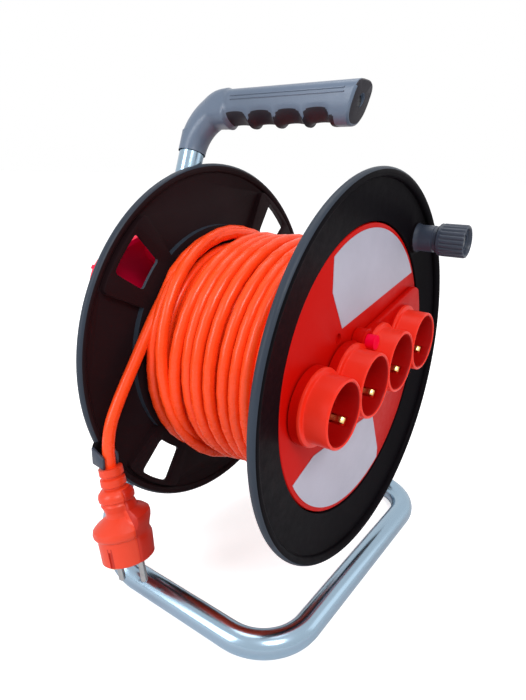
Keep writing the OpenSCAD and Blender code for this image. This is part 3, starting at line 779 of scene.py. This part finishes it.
def gripRidges():
    pieces = []
    y0, y1 = grip["ridgeSpan"]
    for hand in (-1, 1):
        for up in grip["ridges"]:
            wide = grip["halfWidth"] * (1 - (up / grip["top"]) ** grip["square"]) ** (1 / grip["square"])
            pieces.append(softBox("gripRidge", (hand * (wide + 0.05), (y0 + y1) / 2, grip["height"] + up),
                                  (1.1, y1 - y0, 0.9), 0.3))
    return pieces


def gripPaintedShadeFaces(face, middle):
    # painted shade: the finger side's underside and the front face get a near-black copy of the grip's colour
    y0, y1 = grip["fingerSpan"]
    below = face.normal.z < grip["fingerTurn"] and middle.z < grip["height"] - 4
    ahead = face.normal.y < grip["frontTurn"] and middle.y < 30
    return 1 if (below and y0 < middle.y < y1) or ahead else 0


gripMoulding = joinPieces("gripMoulding", [gripSkin()] + gripRidges())
smooth(gripMoulding, 50)
dress(gripMoulding, "grip_plastic")
tint(gripMoulding, ["gripPaintedShade"], gripPaintedShadeFaces)
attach(gripMoulding, "frame")
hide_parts("handle_grip")
gripScrew = joinPieces("gripScrewHead", [
    rodPiece("screwHead", (0, grip["height"]), *grip["screwDepth"], grip["screw"], 40),
    softBox("screwSlot", (0, grip["screwSlotAt"], grip["height"]), grip["screwSlot"], 0.1)])
smooth(gripScrew, 30)
dress(gripScrew, "black_plastic")
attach(gripScrew, "frame")
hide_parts("grip_screw")
print("grip made")


# crank

crank = {
    "at": (77.217, 88.829),
    "ribs": 22, "ribDepth": 0.9, "pointsPerRib": 12,
    # the knob's section: [radius, depth, how much of the ribs it carries]
    "knob": [(5.5, -33.5, 0), (9.2, -33.0, 0), (9.6, -34.6, 0), (10.1, -35.7, 0), (10.7, -36.0, 0),
             (11.7, -35.65, 0.4), (12.2, -34.8, 1), (12.2, -18.7, 1), (12.2, -18.1, 0.2), (12.0, -17.7, 0),
             (12.1, -16.0, 0), (11.6, -15.5, 0), (3.1, -15.5, 0)],
    "stub": [(3.05, 2), (11.0, 2), (10.6, 0.6), (10.1, -0.6), (10, -2), (10, -11.4), (9.3, -11.9),
             (9.3, -12.9), (10, -13.4), (10, -14.5), (9.5, -15), (3.05, -15)],
}


def makeKnob():
    sides = crank["ribs"] * crank["pointsPerRib"]
    x0, z0 = crank["at"]
    points = []
    for radius, y, share in crank["knob"]:
        for k in range(sides):
            turn = math.tau * k / sides
            wave = 0.5 - 0.5 * math.cos(turn * crank["ribs"])
            r = radius - share * crank["ribDepth"] * wave ** 2.2
            points.append((x0 + r * math.cos(turn), y, z0 + r * math.sin(turn)))
    faces = ringFaces(len(crank["knob"]), sides)
    last = len(points) - sides
    for k in range(sides):
        k2 = (k + 1) % sides
        faces.append((last + k, k, k2, last + k2))
    knob = meshPiece("knobCap", points, faces)
    smooth(knob, 40)
    return knob


knobCap = makeKnob()
dress(knobCap, "knob_plastic")
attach(knobCap, "knob")
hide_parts("crank_knob")

crankPost = spunPiece("crankStub", crank["stub"], crank["at"], 96, True)
smooth(crankPost, 30)
dress(crankPost, "knob_plastic")
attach(crankPost, "drum")
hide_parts("crank_post")
print("crank made")


# drum: flanges, socket panel and clip

def softenedNode(node, name, width, slotName, body):
    piece = cadCopy(node, name)
    softenEdges(piece, width, 2, 38)
    smooth(piece, 32)
    dress(piece, slotName)
    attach(piece, body)
    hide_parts(node)
    return piece


# where a flange's painted highlight lies: faces looking outward, on the rim and on the hub ring's edge
rimHighlightZone = {"outward": 0.5, "rimFrom": 136, "hub": (86, 112)}


def reachAndSlope(face, middle):
    # how far a face is from the axle, and how much it looks away from it
    reach = max(math.hypot(middle.x, middle.z), 1)
    return reach, (face.normal.x * middle.x + face.normal.z * middle.z) / reach


def rimHighlightFaces(face, middle):
    # the outer edge of a flange is painted paler than its walls, a painted highlight
    reach, outward = reachAndSlope(face, middle)
    return 1 if outward > rimHighlightZone["outward"] and reach > rimHighlightZone["rimFrom"] else 0


# the rim and the hub ring's edge of the rear flange get the painted highlight
def rimAndHubHighlightFaces(face, middle):
    reach, outward = reachAndSlope(face, middle)
    inner, outer = rimHighlightZone["hub"]
    return 1 if outward > rimHighlightZone["outward"] and (reach > rimHighlightZone["rimFrom"] or inner < reach < outer) else 0


rearFlange = softenedNode("rear_flange", "rearFlangeMoulding", 0.6, "flange_plastic", "drum")
frontFlange = softenedNode("front_flange", "frontFlangeMoulding", 0.6, "flange_plastic", "drum")
# the rear flange takes the red-tinged copy of the black, a painted reflection
rearFlange.data.materials[0] = finishes["rearFlange"]
tint(rearFlange, ["flangeRimPaintedSheen"], rimAndHubHighlightFaces)
tint(frontFlange, ["flangeRimPaintedSheen"], rimHighlightFaces)
softenedNode("rear_carrier", "bearingPlate", 0.9, "crimson_plastic", "frame")

clip = {
    "at": (-129, -56), "prongGap": 9.3, "prong": (2.4, 12.0, 13.0), "front": 127.6,
    "drop": 3.5, "narrowed": 0.66,               # how far a prong's free end drops, and its height there
    "lobe": 9.6, "lobeShift": (5.0, 1.5), "lobeDepth": (138.6, 143.0),
}


def makeProngs():
    x0, z0 = clip["at"]
    wide, deep, tall = clip["prong"]
    prongs = []
    for side in (-1, 1):
        place = (x0 + side * (clip["prongGap"] + wide) / 2, clip["front"] + deep / 2, z0)
        prong = softBox("clipProng", place, (wide, deep, tall), 0.9)
        middle = (z0 + drumShift.z) * millimetre
        for point in prong.data.vertices:
            ahead = 1 - (point.co.y / millimetre - drumShift.y - clip["front"]) / deep
            scale = 1 - (1 - clip["narrowed"]) * ahead
            point.co.z = middle + (point.co.z - middle) * scale - clip["drop"] * ahead * millimetre
        prongs.append(prong)
    return joinPieces("plugClip", prongs)


def makeLobe():
    at = [clip["at"][i] + clip["lobeShift"][i] for i in range(2)]
    lobe = rodPiece("clipLobe", at, *clip["lobeDepth"], clip["lobe"], 72)
    softenEdges(lobe, 1.2, 3, 40)
    return lobe


plugClip = makeProngs()
clipLobe = makeLobe()
dress(plugClip, "knob_plastic")
dress(clipLobe, "flange_plastic")
for piece in (plugClip, clipLobe):
    smooth(piece, 40)
    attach(piece, "drum")
    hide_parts("plug_clip")
print("flanges and clip made")


# socket panel

panel = {
    "tilt": 7, "middle": (-8.7, 6.3), "pitch": 42.5, "turn": -45,
    # sections as [radius, depth]
    "foot": [(0, -2.5), (19.75, -2.5), (19.75, -18.6), (20.05, -19.4), (20.7, -20.0), (21.3, -19.9),
             (21.9, -19.4), (22.15, -18.6), (22.15, -5.2), (22.5, -4.4), (23.2, -4.1), (24.2, -4.0),
             (25.0, -3.6), (25.4, -2.8), (25.45, -1.8), (25.45, 4)],
    "disc": [(0, 5.5), (102.9, 5.5), (103.9, 5.8), (104.5, 6.6), (104.5, 8.5), (0, 8.5)],
    "boss": [(5.08, 5), (5.08, -3.1), (5.4, -3.5), (7.3, -3.5), (7.9, -3.1), (8, -2.4), (8, 5)],
    "band": [(-36, 24), (84, 51), (110, 30), (110, -16), (46, -34), (-36, -20)],
    "bandDepth": (0.5, 5.6), "bandReach": 100.5, "bandCorner": 8, "bandEdge": 1.6,
    "screws": [(-38, 33), (22, 76), (-15, -72)], "screwHole": 3.5, "screwFloor": 7.6,
    "button": (-11.234, 26.945),
    "cupFloor": 1.1,
    "pinAt": 9.5, "pinHole": 2.9,
    "slotAt": 20.0, "slot": (3.0, 6.0), "slotDepth": (-13.5, 3.0),
    # faces nearer to a socket's middle than these show the cup's inside, its outside or its foot
    "insideReach": 20.2, "outsideReach": 21.6, "footReach": 25.8,
}


def alongRow(d):
    tilt = math.radians(panel["tilt"])
    return (panel["middle"][0] + d * math.cos(tilt), panel["middle"][1] + d * math.sin(tilt))


socketPlaces = [(i - 1.5) * panel["pitch"] for i in range(4)]


def turnAbout(centre, degrees):
    # a turn in the panel's plane, about a socket's own middle, seen from the front
    c, s = math.cos(math.radians(degrees)), math.sin(math.radians(degrees))
    return lambda x, z: (centre[0] + x * c - z * s, centre[1] + x * s + z * c)


socketTurn = panel["tilt"] + panel["turn"]


def slotCutter(centre, side):
    x, z = turnAbout(centre, socketTurn)(side * panel["slotAt"], 0)
    wide, tall = panel["slot"]
    y0, y1 = panel["slotDepth"]
    deselectAll()
    bpy.ops.mesh.primitive_cube_add(size=1, location=spot(x, (y0 + y1) / 2, z),
                                    rotation=(0, -math.radians(socketTurn), 0))
    cutter = bpy.context.object
    cutter.scale = (wide * millimetre, (y1 - y0) * millimetre, tall * millimetre)
    bpy.ops.object.transform_apply(location=True, rotation=True, scale=True)
    return cutter


def makeCup(number, d):
    centre = alongRow(d)
    cup = spunPiece("socketCup%d" % number, panel["foot"], centre, 120)
    pickOnly(cup)
    thick = cup.modifiers.new("floor", "SOLIDIFY")
    thick.thickness = panel["cupFloor"] * millimetre
    thick.offset = -1
    applyModifiers(cup)
    cutters = []
    for side in (-1, 1):
        pin = turnAbout(centre, socketTurn)(0, side * panel["pinAt"])
        cutters.append(rodPiece("pinHole", pin, -6, 6, panel["pinHole"], 40))
        cutters.append(slotCutter(centre, side))
    cutAway(cup, cutters)
    smooth(cup, 32)
    return cup


def makeBand():
    # a flat plate with rounded corners: the outline is extruded, cut to the panel's round and softened
    y0, y1 = panel["bandDepth"]
    mesh = bpy.data.meshes.new("panelBand")
    mesh.from_pydata([spot(x, y0, z) for x, z in panel["band"]], [], [tuple(range(len(panel["band"])))])
    plate = bpy.data.objects.new("panelBand", mesh)
    scene.collection.objects.link(plate)
    pickOnly(plate)
    bpy.ops.object.mode_set(mode="EDIT")
    bpy.ops.mesh.select_all(action="SELECT")
    bpy.ops.mesh.bevel(offset=panel["bandCorner"] * millimetre, offset_pct=0, segments=6, affect="VERTICES")
    bpy.ops.mesh.select_all(action="SELECT")
    bpy.ops.mesh.extrude_region_move(TRANSFORM_OT_translate={"value": (0, (y1 - y0) * millimetre, 0)})
    bpy.ops.mesh.select_all(action="SELECT")
    bpy.ops.mesh.normals_make_consistent(inside=False)
    bpy.ops.object.mode_set(mode="OBJECT")
    disc = rodPiece("roundCut", (0, 0), y0 - 5, y1 + 5, panel["bandReach"], 160)
    modifier = plate.modifiers.new("round", "BOOLEAN")
    modifier.operation = "INTERSECT"
    modifier.solver = "EXACT"
    modifier.object = disc
    applyModifiers(plate)
    bpy.data.objects.remove(disc)
    softenEdges(plate, panel["bandEdge"], 4, 40)
    return plate


def screwHole(at, y0):
    return rodPiece("screwHole", at, y0, panel["screwFloor"], panel["screwHole"], 48)


def makePanel():
    disc = spunPiece("socketPanel", panel["disc"], (0, 0), 160)
    band = makeBand()
    cutAway(band, [screwHole(panel["screws"][0], -3)])
    cutAway(disc, [screwHole(at, 2) for at in panel["screws"]])
    boss = spunPiece("buttonBoss", panel["boss"], panel["button"], 72)
    cups = [makeCup(i + 1, d) for i, d in enumerate(socketPlaces)]
    whole = joinPieces("socketPanelMoulding", [disc, band, boss] + cups)
    smooth(whole, 32)
    return whole


# the cups' insides get painted shade, their walls and feet painted light, as copies of the panel's red
def cupLightAndShadeFaces(face, middle):
    away = min(math.hypot(middle.x - alongRow(d)[0], middle.z - alongRow(d)[1]) for d in socketPlaces)
    if away < panel["outsideReach"] and middle.y < 0.2:
        return 2 if away < panel["insideReach"] else 1
    return 1 if away < panel["footReach"] and middle.y < 0.4 else 0


panelMoulding = makePanel()
dress(panelMoulding, "panel_plastic")
tint(panelMoulding, ["cupPaintedLight", "cupPaintedShade"], cupLightAndShadeFaces)
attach(panelMoulding, "drum")
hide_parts("socket_panel")
print("socket panel made")


# earth springs

earthSpring = {
    "path": [(18.9, 6.2), (18.9, -6.2), (18.5, -7.4), (17.4, -8.8), (17.1, -9.8), (17.4, -10.8),
             (18.2, -11.9), (18.9, -12.6)],
    "half": 1.9, "thick": 0.8,
    "link": (37.8, 0.9, 4), "linkDepth": 10.8,
    "bar": (127.5, 0.9, 4), "barDepth": 11.1,
    "terminal": 1.5, "terminalDepth": (11.0, 23.0),
}


def springStrip(turned, side):
    points, faces = [], []
    for r, y in earthSpring["path"]:
        for across in (-earthSpring["half"], earthSpring["half"]):
            x, z = turned(side * r, across)
            points.append((x, y, z))
    for i in range(len(earthSpring["path"]) - 1):
        faces.append((2 * i, 2 * i + 1, 2 * i + 3, 2 * i + 2))
    strip = meshPiece("earthSpring", points, faces)
    thick = strip.modifiers.new("sheet", "SOLIDIFY")
    thick.thickness = earthSpring["thick"] * millimetre
    thick.offset = 0
    applyModifiers(strip)
    softenEdges(strip, 0.18, 2, 40)
    return strip


def makeEarthStrip():
    pieces = []
    for d in socketPlaces:
        x, z = alongRow(d)
        pieces += [springStrip(turnAbout((x, z), socketTurn), side) for side in (-1, 1)]
        pieces.append(softBox("earthLink", (x, earthSpring["linkDepth"], z), earthSpring["link"], 0.15,
                              -math.radians(socketTurn)))
    x, z = alongRow(0)
    pieces.append(softBox("earthBar", (x, earthSpring["barDepth"], z), earthSpring["bar"], 0.15,
                          -math.radians(panel["tilt"])))
    y0, y1 = earthSpring["terminalDepth"]
    pieces.append(rodPiece("earthTerminal", (x, z), y0, y1, earthSpring["terminal"], 32))
    whole = joinPieces("earthStrip", pieces)
    smooth(whole, 40)
    return whole


earthStrip = makeEarthStrip()
dress(earthStrip, "brass")
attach(earthStrip, "drum")
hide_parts("earth_rail")
print("earth springs made")


# floor, backdrop and light

stageSet = {
    "floorSize": 60, "floorColour": (0.86, 0.86, 0.87), "floorRough": 0.75, "floorGlow": 0.68,
    "lamps": [("keyLamp", (-0.75, -1.15, 1.45), (0.6, 0.6), 17, (1.0, 0.99, 0.97)),
              ("sideLamp", (-1.3, 0.45, 0.75), (0.5, 0.9), 10.5, (0.93, 0.96, 1.0)),
              ("topLamp", (0.25, 0.15, 1.7), (1.0, 1.0), 9, (1.0, 1.0, 1.0)),
              ("frontFill", (0.9, -1.2, 0.6), (0.7, 0.7), 1, (1.0, 1.0, 1.0))],
    "aim": (0, 0, 0.17),
    "worldLevel": 0.46,
}


def addFloor():
    # the camera sees the floor a little brighter than it lights the reel
    deselectAll()
    bpy.ops.mesh.primitive_plane_add(size=stageSet["floorSize"], location=(0, 0, 0))
    floor = bpy.context.object
    floor.name = "paleFloor"
    finish = bpy.data.materials.new("paleFloorPaint")
    finish.use_nodes = True
    nodes, links = finish.node_tree.nodes, finish.node_tree.links
    shader = nodes["Principled BSDF"]
    shader.inputs["Base Color"].default_value = (*stageSet["floorColour"], 1)
    shader.inputs["Roughness"].default_value = stageSet["floorRough"]
    glow = nodes.new("ShaderNodeEmission")
    glow.inputs["Color"].default_value = (1, 1, 1, 1)
    glow.inputs["Strength"].default_value = stageSet["floorGlow"]
    brighter = nodes.new("ShaderNodeAddShader")
    ray = nodes.new("ShaderNodeLightPath")
    shown = nodes.new("ShaderNodeMixShader")
    links.new(shader.outputs[0], brighter.inputs[0])
    links.new(glow.outputs[0], brighter.inputs[1])
    links.new(ray.outputs["Is Camera Ray"], shown.inputs["Fac"])
    links.new(shader.outputs[0], shown.inputs[1])
    links.new(brighter.outputs[0], shown.inputs[2])
    links.new(shown.outputs[0], nodes["Material Output"].inputs["Surface"])
    floor.data.materials.append(finish)


def addWorld():
    # white to the camera, to reflections and through clear pieces; dimmer as a light
    world = bpy.data.worlds.new("paleWorld")
    scene.world = world
    world.use_nodes = True
    nodes, links = world.node_tree.nodes, world.node_tree.links
    nodes.clear()
    out = nodes.new("ShaderNodeOutputWorld")
    levels = []
    for level in (stageSet["worldLevel"], 1):
        background = nodes.new("ShaderNodeBackground")
        background.inputs["Color"].default_value = (1, 1, 1, 1)
        background.inputs["Strength"].default_value = level
        levels.append(background)
    ray = nodes.new("ShaderNodeLightPath")
    cameraOrClear = nodes.new("ShaderNodeMath")
    cameraOrClear.operation = "MAXIMUM"
    seen = nodes.new("ShaderNodeMath")
    seen.operation = "MAXIMUM"
    shown = nodes.new("ShaderNodeMixShader")
    links.new(ray.outputs["Is Camera Ray"], cameraOrClear.inputs[0])
    links.new(ray.outputs["Is Transmission Ray"], cameraOrClear.inputs[1])
    links.new(cameraOrClear.outputs[0], seen.inputs[0])
    links.new(ray.outputs["Is Glossy Ray"], seen.inputs[1])
    links.new(seen.outputs[0], shown.inputs["Fac"])
    links.new(levels[0].outputs[0], shown.inputs[1])
    links.new(levels[1].outputs[0], shown.inputs[2])
    links.new(shown.outputs[0], out.inputs["Surface"])


def addLamps():
    for name, place, size, watts, colour in stageSet["lamps"]:
        aim = (Vector(stageSet["aim"]) - Vector(place)).to_track_quat("-Z", "Y").to_euler()
        bpy.ops.object.light_add(type="AREA", location=place, rotation=aim)
        lamp = bpy.context.object
        lamp.name = name
        lamp.data.shape = "RECTANGLE"
        lamp.data.size, lamp.data.size_y = size
        lamp.data.energy = watts
        lamp.data.color = colour


addFloor()
addWorld()
addLamps()
scene.view_settings.view_transform = "Standard"
print("stage made")
